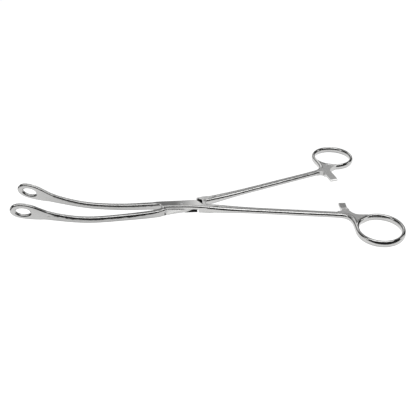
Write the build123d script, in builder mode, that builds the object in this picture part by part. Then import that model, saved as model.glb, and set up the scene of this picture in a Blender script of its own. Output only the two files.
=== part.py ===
from build123d import *
import os
from math import sin, cos, atan2, radians, sqrt

os.makedirs("parts", exist_ok=True)

# ---------------------------------------------------------------- dimensions
# All in millimetres.  +Z is up, the pivot axis is the Z axis and z = 0 is the
# surface the joint lies on.  +X points to the finger rings, -X to the jaws.
half_open = 6.38          # each half is turned this far from closed in the rest pose, degrees
joint_half_t = 2.45       # half of the joint's full thickness
mid_z = joint_half_t      # height of the plane where the two laps meet
lap_gap = 0.04            # each lap face stands this far from that plane

rivet_r = 1.10            # rivet shaft
rivet_head_r = 1.45       # visible top head
rivet_foot_r = 1.70       # countersunk foot
running_gap = 0.05        # radial clearance in the turning half

ring_x, ring_y = 120.0, 35.2     # finger ring centre from the pivot, halves closed
ring_a, ring_b = 13.33, 14.41    # centre line half axes of the oval ring
ring_tilt = 11.3                 # the oval leans out by this angle
ring_band = 2.6                  # band width, radial
ring_high = 4.26                 # band height, axial

loop_t = 2.5              # thickness of the jaw loops
loop_inner = 0.25         # inner face of a loop from the symmetry plane when closed
loop_round = 0.85
window_x, window_z = -97.6, 15.90   # centre of the window in the loop
window_a, window_b = 4.35, 2.35      # its half axes
web_half_t = 1.75         # half thickness of the web beside the ring

shank_slope = 0.1724      # the handle shanks spread by this slope
shank_y0 = 3.24           # their centre line at x = 20

# handle shank stations: x, width across, height and squareness of the oval section
shank = [
    (16.0, 4.9, 4.80, 4.6), (21.0, 5.1, 4.60, 3.4), (29.0, 5.1, 4.15, 2.6),
    (40.0, 4.7, 3.60, 2.3), (60.0, 4.3, 3.35, 2.3), (84.0, 4.2, 3.30, 2.3),
    (98.0, 4.2, 3.40, 2.3),
]

# neck stations, where the shank bends outwards into the side of the ring:
# x, y, heading in degrees, width, height of the oval section
neck = [
    (98.0, -16.69, -9.8, 4.20, 3.40), (101.3, -17.45, -17.0, 4.10, 3.55),
    (104.0, -18.95, -40.0, 4.00, 3.70), (105.9, -21.40, -64.0, 3.80, 3.85),
    (106.8, -24.80, -82.0, 3.40, 4.00), (106.95, -28.60, -90.0, 3.05, 4.10),
    (106.72, -32.60, -92.0, 2.65, 4.16), (106.64, -35.60, -90.0, 2.40, 4.00),
]

# jaw shank stations: x, y, z above the joint's middle, thickness, depth, squareness, slope
jaw = [
    (-14.0, 2.70, 0.00, 3.3, 4.80, 4.6, 0.000),
    (-20.0, 2.90, 0.05, 3.5, 4.80, 3.2, 0.020),
    (-30.0, 2.55, 0.30, 3.6, 4.60, 2.5, 0.040),
    (-40.0, 2.20, 0.79, 3.4, 4.45, 2.3, 0.062),
    (-50.0, 2.15, 1.60, 3.3, 4.30, 2.3, 0.108),
    (-60.0, 2.10, 2.95, 3.2, 4.25, 2.3, 0.180),
    (-70.0, 1.90, 5.35, 3.0, 4.40, 2.5, 0.290),
    (-78.0, 1.68, 7.98, 2.7, 4.90, 3.0, 0.362),
    (-84.0, 1.50, 10.30, 2.5, 5.70, 4.2, 0.390),
]

# loop outline: x, z of the middle line and half depth there
loop_st = [
    (-84.0, 10.30, 2.85), (-87.0, 11.50, 3.35), (-90.0, 12.80, 4.02),
    (-93.0, 14.20, 4.60), (-96.0, 15.50, 4.90), (-99.0, 16.65, 4.78),
    (-101.8, 17.65, 4.10), (-103.7, 18.25, 2.90),
]
loop_tip = (-105.0, 18.65)

# plan outlines of the joint plates, each drawn for a half whose handle lies on -Y
far_a = [(-14.8, 4.60), (-10.0, 4.65), (-5.0, 4.60), (0.0, 4.70), (5.0, 4.82), (10.4, 4.90)]
scallop_a = [(10.4, 4.90), (11.4, 3.75), (13.3, 1.30), (14.7, -0.35), (17.0, -0.75)]
near_a = [(17.0, -5.10), (14.0, -4.50), (10.0, -3.70), (5.0, -2.95), (0.0, -2.60), (-6.0, -2.15), (-11.2, -2.05)]
far_b = [(-14.8, 4.00), (-13.2, 3.60), (-11.2, 3.25), (-7.0, 3.00), (-2.8, 3.15), (0.9, 3.30), (5.0, 3.40), (9.3, 3.45)]
scallop_b = [(9.3, 3.45), (10.2, 2.60), (12.1, 0.80), (13.2, -0.35), (17.0, -0.75)]
near_b = [(17.0, -5.40), (14.0, -5.60), (10.6, -5.30), (6.0, -4.35), (0.0, -2.90), (-6.0, -2.35), (-11.2, -2.05)]
# cut-away that takes the other half's lap
pocket_a = [(-18.2, -9.0), (-8.3, 9.0), (19.94, 9.0), (7.46, -9.0)]
pocket_b = [(-18.2, -9.0), (-8.3, 9.0), (20.96, 9.0), (8.48, -9.0)]
plate_round = 1.15         # rounding of the plate's long top edge on the -Y side
plate_edge = 0.45          # rounding of its other long edges

# flat web between neck, arm and ring: its open edge, and its left corner against the arm
web_a = [(105.4, -14.2), (107.0, -17.1), (109.0, -19.2), (112.0, -20.1), (116.0, -20.4)]
web_b = [(109.4, -13.0), (110.7, -16.4), (113.5, -18.9), (117.8, -20.5)]
web_back = [(118.3, -21.2), (109.4, -26.8), (107.0, -27.5), (106.2, -22.5), (103.6, -18.8), (99.0, -16.9)]
corner_a = [(98.6, -14.9), (100.6, -14.9), (101.5, -14.0), (101.7, -12.6)]
corner_b = [(101.4, -15.6), (103.5, -15.4), (104.5, -14.4), (104.7, -12.9)]

# ratchet arms: middle and width along the half, distance of tip and base from the symmetry plane
arm_a_x, arm_a_w, arm_a_tip = 103.75, 4.3, 2.6
arm_b_x, arm_b_w, arm_b_tip = 107.1, 5.0, 1.5
tooth, tooth_deep = 1.25, 0.20


# ---------------------------------------------------------------- placing
def rot(s, x, y):
    """Turn a point of the closed half by its rest-pose angle; s is the handle's side."""
    a = radians(half_open) * s
    return (x * cos(a) - y * sin(a), x * sin(a) + y * cos(a))


def pt(s, x, y, z):
    px, py = rot(s, x, -y * s)
    return (px, py, z + mid_z)


def vec(s, x, y, z):
    px, py = rot(s, x, -y * s)
    return (px, py, z)


def plan(s, z):
    """Horizontal plane turned with the half, at a height above the joint's middle."""
    return Plane(origin=(0, 0, z + mid_z), x_dir=rot(s, 1, 0) + (0,), z_dir=(0, 0, 1))


def upright(s, y):
    """Vertical plane along the half; local x towards the rings, local y up."""
    return Plane(origin=rot(s, 0, y) + (mid_z,), x_dir=rot(s, 1, 0) + (0,), z_dir=rot(s, 0, -1) + (0,))


def across(s, x):
    """Vertical plane across the half; local x towards +Y, local y up."""
    return Plane(origin=rot(s, x, 0) + (mid_z,), x_dir=rot(s, 0, 1) + (0,), z_dir=rot(s, 1, 0) + (0,))


def flip(s, pts):
    return [(x, -y * s) for x, y in pts]


def shank_plane(s, x):
    y = -(shank_y0 + shank_slope * (x - 20.0))
    return Plane(origin=pt(s, x, y, 0), x_dir=(0, 0, 1), z_dir=vec(s, 1.0, -shank_slope, 0))


def neck_plane(s, x, y, heading):
    h = radians(heading)
    return Plane(origin=pt(s, x, y, 0), x_dir=(0, 0, 1), z_dir=vec(s, cos(h), sin(h), 0))


def ring_path(s):
    """Points of the ring's centre line, a tilted ellipse."""
    pts = []
    k = radians(ring_tilt)
    for i in range(24):
        a, b = ring_a * cos(radians(15 * i)), ring_b * sin(radians(15 * i))
        pts.append((ring_x + a * cos(k) - b * sin(k), s * (ring_y + a * sin(k) + b * cos(k))))
    return pts


def oval(h, w, square):
    """Points round an oval section, one every 22.5 degrees; square 2 is an ellipse, more is squarer."""
    pts = []
    for i in range(16):
        c, d = cos(radians(22.5 * i)), sin(radians(22.5 * i))
        m = (abs(c) ** square + abs(d) ** square) ** (-1 / square)
        pts.append((h / 2 * m * c, w / 2 * m * d))
    return pts


def jaw_plane(s, x, y, z, slope):
    return Plane(origin=pt(s, x, y, z), x_dir=vec(s, 0, 1, 0), z_dir=vec(s, -1.0, 0, slope))


def loop_points():
    """Upper and lower outline points of the loop in its own upright plane."""
    up, low = [], []
    n = len(loop_st)
    for i, (x, z, h) in enumerate(loop_st):
        x0, z0 = loop_st[max(i - 1, 0)][:2]
        x1, z1 = loop_st[min(i + 1, n - 1)][:2]
        t = 0.390 if i == 0 else (z1 - z0) / (x0 - x1)
        m = sqrt(1 + t * t)
        up.append((x + h * t / m, z + h / m))
        low.append((x - h * t / m, z - h / m))
    return up, low


loop_up, loop_low = loop_points()
loop_curve = loop_up + [loop_tip] + loop_low[::-1]

# profile of the upper half's arm (across the half, up): it dips towards its tip, teeth on top
arm_a = [(-17.2, 1.75), (-13.4, 1.75), (-arm_a_tip - 0.4 - tooth * 4, 0.0)]
for i in range(4):
    u = -arm_a_tip - 0.4 - tooth * (3 - i)
    arm_a += [(u - tooth / 2, -tooth_deep), (u, 0.0)]
arm_a += [(-arm_a_tip, -0.35), (-arm_a_tip, -1.45), (-arm_a_tip - 0.4, -1.75), (-17.2, -1.75)]

# profile of the lower half's arm: flush on top, teeth underneath
arm_b = [(17.2, 1.75), (arm_b_tip + 0.4, 1.75), (arm_b_tip, 1.40), (arm_b_tip, 0.50)]
for i in range(4):
    u = arm_b_tip + 0.4 + tooth * i
    arm_b += [(u, 0.15), (u + tooth / 2, 0.15 + tooth_deep)]
arm_b += [(arm_b_tip + 0.4 + tooth * 4, 0.15), (9.0, 0.15), (12.6, -1.6), (17.2, -1.6)]


# ---------------------------------------------------------------- upper half (handle on -Y, jaw on +Y)
with BuildPart() as upper_half:
    # finger ring: an upright oval section carried round an oval
    with BuildLine(plan(-1, 0)) as upper_half_ring:
        Spline(*ring_path(-1), periodic=True)
    with BuildSketch(Plane(origin=upper_half_ring.line @ 0, x_dir=(0, 0, 1), z_dir=upper_half_ring.line % 0)):
        Ellipse(ring_high / 2, ring_band / 2)
    sweep()

    # jaw loop: a flat plate with a window, rounded all along its edges
    with BuildSketch(upright(-1, loop_inner + loop_t)):
        with BuildLine():
            Spline(*loop_curve, tangents=((-1, 0.390), (1, -0.390)))
            Line(loop_low[0], loop_up[0])
        make_face()
        with Locations((window_x, window_z)):
            Ellipse(window_a, window_b, rotation=-20.5, mode=Mode.SUBTRACT)
    extrude(amount=loop_t)
    fillet(upper_half.edges(Select.LAST).filter_by(lambda e: e.length > 20), loop_round)

    # joint plate at full thickness, its long edges broken
    with BuildSketch(plan(-1, -joint_half_t)):
        with BuildLine():
            Spline(*flip(-1, far_a))
            Spline(*flip(-1, scallop_a))
            Polyline(*flip(-1, [scallop_a[-1], (24.0, -3.6), (24.0, -4.2), near_a[0]]))
            Spline(*flip(-1, near_a))
            Polyline(*flip(-1, [near_a[-1], (-12.6, -0.9), (-13.6, 0.9), (-14.8, 1.4), (-22.0, 2.6), (-22.0, 3.1), far_a[0]]))
        make_face()
    extrude(amount=2 * joint_half_t)
    long_edges = upper_half.edges(Select.LAST).filter_by(lambda e: e.length > 8 and abs(e.center().Z - mid_z) > 2.0)
    fillet(long_edges.filter_by(lambda e: e.center().Z > mid_z and e.center().Y < 0), plate_round)
    long_edges = upper_half.edges().filter_by(lambda e: e.length > 8 and abs(e.center().Z - mid_z) > 2.4 and abs(e.center().X) < 12)
    fillet(long_edges.filter_by(lambda e: e.center().Z < mid_z or e.center().Y > 0), plate_edge)

    # cut-away that takes the other half's lap
    with BuildSketch(plan(-1, -joint_half_t - 1.0)):
        with BuildLine():
            Polyline(*flip(-1, pocket_a), close=True)
        make_face()
    extrude(amount=joint_half_t + lap_gap + 1.0, mode=Mode.SUBTRACT)

    # handle shank
    for x, w, h, square in shank:
        with BuildSketch(shank_plane(-1, x)):
            with BuildLine():
                Spline(*oval(h, w, square), periodic=True)
            make_face()
    loft()

    # neck, where the shank runs into the ring
    for x, y, heading, w, h in neck:
        with BuildSketch(neck_plane(-1, x, y, heading)):
            with BuildLine():
                Spline(*oval(h, w, 2.3), periodic=True)
            make_face()
    loft()

    # jaw shank, bending up out of the plane of opening
    for x, y, z, t, d, square, slope in jaw:
        with BuildSketch(jaw_plane(-1, x, y, z, slope)):
            with BuildLine():
                Spline(*oval(t, d, square), periodic=True)
            make_face()
    loft()

    # web from the shank into the ring
    with BuildSketch(plan(-1, -web_half_t)):
        with BuildLine():
            Spline(*flip(-1, web_a))
            Polyline(*flip(-1, [web_a[-1]] + web_back + [corner_a[0]]))
            Spline(*flip(-1, corner_a))
            Line(*flip(-1, [corner_a[-1], web_a[0]]))
        make_face()
    extrude(amount=2 * web_half_t)

    # ratchet arm, toothed on top
    with BuildSketch(across(-1, arm_a_x - arm_a_w / 2)):
        with BuildLine():
            Polyline(*arm_a, close=True)
        make_face()
    extrude(amount=arm_a_w)

    # rivet hole
    with BuildSketch(Plane.XZ):
        with BuildLine():
            Polyline((0, -1), (rivet_r + running_gap, -1), (rivet_r + running_gap, 4.28), (rivet_head_r + 0.07, 4.65), (rivet_head_r + 0.07, 6), (0, 6), close=True)
        make_face()
    revolve(axis=Axis.Z, mode=Mode.SUBTRACT)

upper_half.part.label = "upper_half"
export_step(upper_half.part, "parts/upper_half.step")


# ---------------------------------------------------------------- lower half (handle on +Y, jaw on -Y)
with BuildPart() as lower_half:
    # finger ring: an upright oval section carried round an oval
    with BuildLine(plan(1, 0)) as lower_half_ring:
        Spline(*ring_path(1), periodic=True)
    with BuildSketch(Plane(origin=lower_half_ring.line @ 0, x_dir=(0, 0, 1), z_dir=lower_half_ring.line % 0)):
        Ellipse(ring_high / 2, ring_band / 2)
    sweep()

    # jaw loop: a flat plate with a window, rounded all along its edges
    with BuildSketch(upright(1, -loop_inner)):
        with BuildLine():
            Spline(*loop_curve, tangents=((-1, 0.390), (1, -0.390)))
            Line(loop_low[0], loop_up[0])
        make_face()
        with Locations((window_x, window_z)):
            Ellipse(window_a, window_b, rotation=-20.5, mode=Mode.SUBTRACT)
    extrude(amount=loop_t)
    fillet(lower_half.edges(Select.LAST).filter_by(lambda e: e.length > 20), loop_round)

    # joint plate at full thickness, its long edges broken
    with BuildSketch(plan(1, -joint_half_t)):
        with BuildLine():
            Spline(*flip(1, far_b))
            Spline(*flip(1, scallop_b))
            Polyline(*flip(1, [scallop_b[-1], (24.0, -3.6), (24.0, -4.2), near_b[0]]))
            Spline(*flip(1, near_b))
            Polyline(*flip(1, [near_b[-1], (-12.6, -0.9), (-13.6, 0.9), (-14.8, 1.4), (-22.0, 2.6), (-22.0, 3.1), far_b[0]]))
        make_face()
    extrude(amount=2 * joint_half_t)
    long_edges = lower_half.edges(Select.LAST).filter_by(lambda e: e.length > 8 and abs(e.center().Z - mid_z) > 2.0)
    fillet(long_edges.filter_by(lambda e: e.center().Z > mid_z and e.center().Y < 0), plate_round)
    long_edges = lower_half.edges().filter_by(lambda e: e.length > 8 and abs(e.center().Z - mid_z) > 2.4 and abs(e.center().X) < 12)
    fillet(long_edges.filter_by(lambda e: e.center().Z < mid_z or e.center().Y > 0), plate_edge)

    # cut-away that takes the other half's lap
    with BuildSketch(plan(1, -lap_gap)):
        with BuildLine():
            Polyline(*flip(1, pocket_b), close=True)
        make_face()
    extrude(amount=joint_half_t + lap_gap + 1.0, mode=Mode.SUBTRACT)

    # bevel along the lap's open edge, where the other lap swings clear of it
    with BuildSketch(Plane(origin=pt(1, -11.1, -0.29, -lap_gap), x_dir=vec(1, -0.298, 0.954, 0), z_dir=vec(1, 0.954, 0.298, 0))):
        with BuildLine():
            Polyline((0, -0.2), (5, -0.2), (5, 2.7), (0, 0), close=True)
        make_face()
    extrude(amount=11.8, mode=Mode.SUBTRACT)

    # flank of the lap, spreading towards its end
    for x, corner, foot, top in [(9.3, -3.40, -5.20, 0.0), (0.9, -3.20, -3.25, -2.40)]:
        with BuildSketch(across(1, x)):
            with BuildLine():
                Polyline((corner, -joint_half_t), (foot, -joint_half_t), (corner, top - lap_gap), close=True)
            make_face()
    loft(ruled=True)

    # handle shank
    for x, w, h, square in shank:
        with BuildSketch(shank_plane(1, x)):
            with BuildLine():
                Spline(*oval(h, w, square), periodic=True)
            make_face()
    loft()

    # neck, where the shank runs into the ring
    for x, y, heading, w, h in neck:
        with BuildSketch(neck_plane(1, x, y, heading)):
            with BuildLine():
                Spline(*oval(h, w, 2.3), periodic=True)
            make_face()
    loft()

    # jaw shank, bending up out of the plane of opening
    for x, y, z, t, d, square, slope in jaw:
        with BuildSketch(jaw_plane(1, x, y, z, slope)):
            with BuildLine():
                Spline(*oval(t, d, square), periodic=True)
            make_face()
    loft()

    # web from the shank into the ring
    with BuildSketch(plan(1, -web_half_t)):
        with BuildLine():
            Spline(*flip(1, web_b))
            Polyline(*flip(1, [web_b[-1]] + web_back + [corner_b[0]]))
            Spline(*flip(1, corner_b))
            Line(*flip(1, [corner_b[-1], web_b[0]]))
        make_face()
    extrude(amount=2 * web_half_t)

    # ratchet arm, toothed underneath
    with BuildSketch(across(1, arm_b_x - arm_b_w / 2)):
        with BuildLine():
            Polyline(*arm_b, close=True)
        make_face()
    extrude(amount=arm_b_w)

    # rivet hole
    with BuildSketch(Plane.XZ):
        with BuildLine():
            Polyline((0, -1), (rivet_foot_r, -1), (rivet_foot_r, 0), (rivet_r, 0.6), (rivet_r, 6), (0, 6), close=True)
        make_face()
    revolve(axis=Axis.Z, mode=Mode.SUBTRACT)

lower_half.part.label = "lower_half"
export_step(lower_half.part, "parts/lower_half.step")


# ---------------------------------------------------------------- pivot rivet
with BuildPart() as pivot_rivet:
    with BuildSketch(Plane.XZ):
        with BuildLine():
            Polyline(
                (0, 0), (rivet_foot_r, 0), (rivet_r, 0.6), (rivet_r, 4.30), (rivet_head_r, 4.65),
                (rivet_head_r, 4.88), (rivet_head_r - 0.2, 4.99), (0.5, 4.99), (0, 4.68), close=True,
            )
        make_face()
    revolve(axis=Axis.Z)

pivot_rivet.part.label = "pivot_rivet"
export_step(pivot_rivet.part, "parts/pivot_rivet.step")
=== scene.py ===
import math

import bpy
from mathutils import Matrix, Vector

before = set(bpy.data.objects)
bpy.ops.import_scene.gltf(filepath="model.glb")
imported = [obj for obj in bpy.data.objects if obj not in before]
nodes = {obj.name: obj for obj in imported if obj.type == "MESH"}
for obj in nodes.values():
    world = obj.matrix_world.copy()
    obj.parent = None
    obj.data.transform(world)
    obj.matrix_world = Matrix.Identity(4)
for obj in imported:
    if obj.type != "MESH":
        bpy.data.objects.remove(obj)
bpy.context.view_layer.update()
scene = bpy.context.scene

# ------------------------------------------------------------------ node helpers


def new_material(name):
    m = bpy.data.materials.new(name)
    m.use_nodes = True
    nt = m.node_tree
    nt.nodes.clear()
    out = nt.nodes.new("ShaderNodeOutputMaterial")
    bsdf = nt.nodes.new("ShaderNodeBsdfPrincipled")
    nt.links.new(bsdf.outputs["BSDF"], out.inputs["Surface"])
    return m, nt, bsdf, out


def add(nt, kind, **inputs):
    n = nt.nodes.new(kind)
    for k, v in inputs.items():
        n.inputs[k.replace("_", " ")].default_value = v
    return n


def ramp(nt, source, stops):
    r = nt.nodes.new("ShaderNodeValToRGB")
    e = r.color_ramp.elements
    while len(e) < len(stops):
        e.new(0.5)
    for el, (p, c) in zip(e, stops):
        el.position = p
        el.color = (c, c, c, 1) if isinstance(c, (int, float)) else (*c, 1)
    nt.links.new(source, r.inputs["Fac"])
    return r


def math_node(nt, op, a, b, clamp=False):
    n = nt.nodes.new("ShaderNodeMath")
    n.operation = op
    n.use_clamp = clamp
    for i, v in enumerate((a, b)):
        if isinstance(v, (int, float)):
            n.inputs[i].default_value = v
        else:
            nt.links.new(v, n.inputs[i])
    return n.outputs[0]


def mix_rgb(nt, fac, a, b, mode="MIX"):
    n = nt.nodes.new("ShaderNodeMix")
    n.data_type = "RGBA"
    n.blend_type = mode
    for sock, v in ((n.inputs[0], fac), (n.inputs[6], a), (n.inputs[7], b)):
        if isinstance(v, (int, float)):
            sock.default_value = v
        elif isinstance(v, tuple):
            sock.default_value = (*v, 1)
        else:
            nt.links.new(v, sock)
    return n.outputs[2]


# ------------------------------------------------------------------ materials


def steel(name, tone, seed):
    """Forged stainless steel: polished shanks and rings, satin flats, worn edges."""
    m, nt, bsdf, out = new_material(name)
    link = nt.links.new
    co = nt.nodes.new("ShaderNodeTexCoord")
    mp = nt.nodes.new("ShaderNodeMapping")
    mp.inputs["Location"].default_value = (seed, seed * 0.37, 0.0)
    link(co.outputs["Object"], mp.inputs["Vector"])
    # fine polishing lines along the instrument
    st = nt.nodes.new("ShaderNodeMapping")
    st.inputs["Scale"].default_value = (60.0, 2600.0, 2600.0)
    link(mp.outputs["Vector"], st.inputs["Vector"])
    lines = add(nt, "ShaderNodeTexNoise", Scale=1.0, Detail=3.0, Roughness=0.6)
    link(st.outputs["Vector"], lines.inputs["Vector"])
    cloud = add(nt, "ShaderNodeTexNoise", Scale=90.0, Detail=4.0, Roughness=0.55)
    link(mp.outputs["Vector"], cloud.inputs["Vector"])
    grain = add(nt, "ShaderNodeTexNoise", Scale=1500.0, Detail=3.0, Roughness=0.6)
    link(mp.outputs["Vector"], grain.inputs["Vector"])
    # upward flats are satin, the rounded steel is polished
    geo = nt.nodes.new("ShaderNodeNewGeometry")
    sep = nt.nodes.new("ShaderNodeSeparateXYZ")
    link(geo.outputs["True Normal"], sep.inputs["Vector"])
    flat = ramp(nt, math_node(nt, "ABSOLUTE", sep.outputs["Z"], 0.0), [(0.985, 0.0), (0.999, 1.0)])
    # edges polished by use
    bev = add(nt, "ShaderNodeBevel", Radius=0.00035)
    bev.samples = 4
    dot = nt.nodes.new("ShaderNodeVectorMath")
    dot.operation = "DOT_PRODUCT"
    link(bev.outputs["Normal"], dot.inputs[0])
    link(geo.outputs["Normal"], dot.inputs[1])
    edge = ramp(nt, dot.outputs["Value"], [(0.80, 1.0), (0.985, 0.0)])
    rough = math_node(nt, "MULTIPLY_ADD", flat.outputs["Color"], 0.20)
    rough_n = rough.node
    rough_n.inputs[2].default_value = 0.11
    r2 = math_node(nt, "MULTIPLY", cloud.outputs["Fac"], 0.10)
    r3 = math_node(nt, "ADD", rough, r2)
    r4 = math_node(nt, "SUBTRACT", r3, math_node(nt, "MULTIPLY", edge.outputs["Color"], 0.08), clamp=True)
    link(r4, bsdf.inputs["Roughness"])
    shade = ramp(nt, cloud.outputs["Fac"], [(0.30, 0.90), (0.70, 1.0)])
    shade2 = ramp(nt, lines.outputs["Fac"], [(0.25, 0.93), (0.75, 1.0)])
    base = mix_rgb(nt, 1.0, tone, shade.outputs["Color"], "MULTIPLY")
    base = mix_rgb(nt, 1.0, base, shade2.outputs["Color"], "MULTIPLY")
    # painted shade on the flat of the joint towards the jaws, and a painted highlight on its handle side
    pos = nt.nodes.new("ShaderNodeSeparateXYZ")
    link(co.outputs["Object"], pos.inputs["Vector"])
    along = nt.nodes.new("ShaderNodeMapRange")
    for k, v in (("From Min", -0.016), ("From Max", 0.016), ("To Min", 0.0), ("To Max", 1.0)):
        along.inputs[k].default_value = v
    link(pos.outputs["X"], along.inputs["Value"])
    painted_flat_sheen = ramp(nt, along.outputs["Result"], [(0.0, 0.47), (0.37, 0.46), (0.69, 1.16), (0.84, 1.50), (1.0, 1.05)])
    base = mix_rgb(nt, flat.outputs["Color"], base, mix_rgb(nt, 1.0, base, painted_flat_sheen.outputs["Color"], "MULTIPLY"))
    base = mix_rgb(nt, math_node(nt, "MULTIPLY", edge.outputs["Color"], 0.5), base, (0.92, 0.92, 0.91))
    # painted shade from ambient occlusion, darkening the crevices of the joint and the undersides
    ao = add(nt, "ShaderNodeAmbientOcclusion", Distance=0.0030)
    ao.samples = 8
    painted_crevice_shade = ramp(nt, ao.outputs["AO"], [(0.25, 0.08), (0.90, 1.0)])
    base = mix_rgb(nt, 1.0, base, painted_crevice_shade.outputs["Color"], "MULTIPLY")
    # painted shade on the downward-facing undersides
    painted_underside_shade = ramp(nt, math_node(nt, "ADD", sep.outputs["Z"], 1.0), [(0.10, 0.25), (0.92, 1.0)])
    base = mix_rgb(nt, 1.0, base, painted_underside_shade.outputs["Color"], "MULTIPLY")
    # the jaws a little darker than the handles
    side = nt.nodes.new("ShaderNodeMapRange")
    for k, v in (("From Min", -0.11), ("From Max", 0.0), ("To Min", 0.0), ("To Max", 1.0)):
        side.inputs[k].default_value = v
    link(pos.outputs["X"], side.inputs["Value"])
    jaw_darkening = ramp(nt, side.outputs["Result"], [(0.0, 0.93), (0.17, 0.92), (0.30, 0.80), (0.75, 0.80), (1.0, 1.0)])
    base = mix_rgb(nt, 1.0, base, jaw_darkening.outputs["Color"], "MULTIPLY")
    link(base, bsdf.inputs["Base Color"])
    bsdf.inputs["Metallic"].default_value = 1.0
    b1 = add(nt, "ShaderNodeBump", Strength=0.05, Distance=0.00003)
    link(lines.outputs["Fac"], b1.inputs["Height"])
    b2 = add(nt, "ShaderNodeBump", Strength=0.06, Distance=0.00005)
    link(grain.outputs["Fac"], b2.inputs["Height"])
    link(b1.outputs["Normal"], b2.inputs["Normal"])
    link(b2.outputs["Normal"], bsdf.inputs["Normal"])
    return m


def put(node, mat):
    for s in nodes[node].material_slots:
        s.material = mat


put("upper_half", steel("upper_steel", (0.585, 0.583, 0.576), 0.013))
put("lower_half", steel("lower_steel", (0.575, 0.574, 0.568), 0.041))
put("pivot_rivet", steel("rivet_steel", (0.70, 0.70, 0.70), 0.077))

# ------------------------------------------------------------------ floor
fm, fnt, fb, fout = new_material("studio_floor")
fco = fnt.nodes.new("ShaderNodeTexCoord")
fno = add(fnt, "ShaderNodeTexNoise", Scale=3.0, Detail=2.0, Roughness=0.5)
fnt.links.new(fco.outputs["Object"], fno.inputs["Vector"])
fr = ramp(fnt, fno.outputs["Fac"], [(0.3, (0.34, 0.34, 0.34)), (0.7, (0.37, 0.37, 0.37))])
fnt.links.new(fr.outputs["Color"], fb.inputs["Base Color"])
fb.inputs["Roughness"].default_value = 0.9
fb.inputs["Emission Color"].default_value = (1, 1, 1, 1)
fb.inputs["Emission Strength"].default_value = 0.90

me = bpy.data.meshes.new("floor")
S = 6.0
FLOOR_Z, FLOOR_FRONT = -0.035, -0.155
me.from_pydata([(-S, FLOOR_FRONT, FLOOR_Z), (S, FLOOR_FRONT, FLOOR_Z), (S, S, FLOOR_Z), (-S, S, FLOOR_Z)], [], [(0, 1, 2, 3)])
floor = bpy.data.objects.new("floor", me)
floor.data.materials.append(fm)
scene.collection.objects.link(floor)

# ------------------------------------------------------------------ lights


def area(name, loc, target, size, size_y, power, color=(1, 1, 1)):
    ld = bpy.data.lights.new(name, "AREA")
    ld.shape = "RECTANGLE"
    ld.size, ld.size_y = size, size_y
    ld.energy = power
    ld.color = color
    ob = bpy.data.objects.new(name, ld)
    ob.location = loc
    d = Vector(target) - Vector(loc)
    ob.rotation_euler = d.to_track_quat("-Z", "Y").to_euler()
    scene.collection.objects.link(ob)
    return ob


def panel(name, loc, target, w, h, radiance, color=(1, 1, 1)):
    return area(name, loc, target, w, h, radiance * math.pi * w * h, color)


panel("top_softbox", (0.03, -0.22, 0.75), (0.03, -0.22, 0), 1.15, 0.53, 2.05)
panel("left_strip", (-0.90, -0.17, 0.30), (0.10, -0.02, 0.0), 0.34, 0.34, 1.5)
panel("right_strip", (0.98, -0.05, 0.22), (0.10, -0.02, 0.0), 0.34, 0.28, 1.5)
panel("ceiling", (0.03, 0.58, 0.76), (0.03, 0.58, 0), 1.6, 0.80, 0.42)
panel("back_wall", (0.0, 1.20, 0.40), (0, 1.0, 0.40), 2.4, 0.60, 0.29)
panel("back_band", (0.0, 1.10, 0.70), (0, 0, 0.0), 1.5, 0.26, 0.80)
panel("back_accent", (0.16, 1.08, 0.66), (0, 0, 0.0), 0.18, 0.34, 0.95)

world = bpy.data.worlds.new("studio")
scene.world = world
world.use_nodes = True
wnt = world.node_tree
bg = wnt.nodes["Background"]
# a pale backdrop behind the floor, and a dark room in the reflections
lp = wnt.nodes.new("ShaderNodeLightPath")
dark = math_node(wnt, "MULTIPLY_ADD", lp.outputs["Is Camera Ray"], 0.97)
dark.node.inputs[2].default_value = 0.025
bg.inputs[0].default_value = (1.0, 1.0, 1.0, 1)
wnt.links.new(dark, bg.inputs[1])

scene.view_settings.view_transform = "Standard"

# ------------------------------------------------------------------ camera
AZ, EL, ROLL = math.radians(-4.31), math.radians(31.78), math.radians(-3.46)
DIST, F_PX = 0.35791, 549.60
target = Vector((0.01684, -0.00437, 0.00245))
back = Vector((math.sin(AZ) * math.cos(EL), -math.cos(AZ) * math.cos(EL), math.sin(EL)))
fwd = -back
right = fwd.cross(Vector((0, 0, 1))).normalized()
up = right.cross(fwd)
r2 = math.cos(ROLL) * right + math.sin(ROLL) * up
u2 = -math.sin(ROLL) * right + math.cos(ROLL) * up
cam_data = bpy.data.cameras.new("camera")
cam = bpy.data.objects.new("camera", cam_data)
scene.collection.objects.link(cam)
rotm = Matrix((r2, u2, back)).transposed().to_4x4()
cam.matrix_world = Matrix.Translation(target + back * DIST) @ rotm
cam_data.sensor_width = 36.0
cam_data.lens = F_PX * 36.0 / 416.0
cam_data.clip_start = 0.01
scene.camera = cam
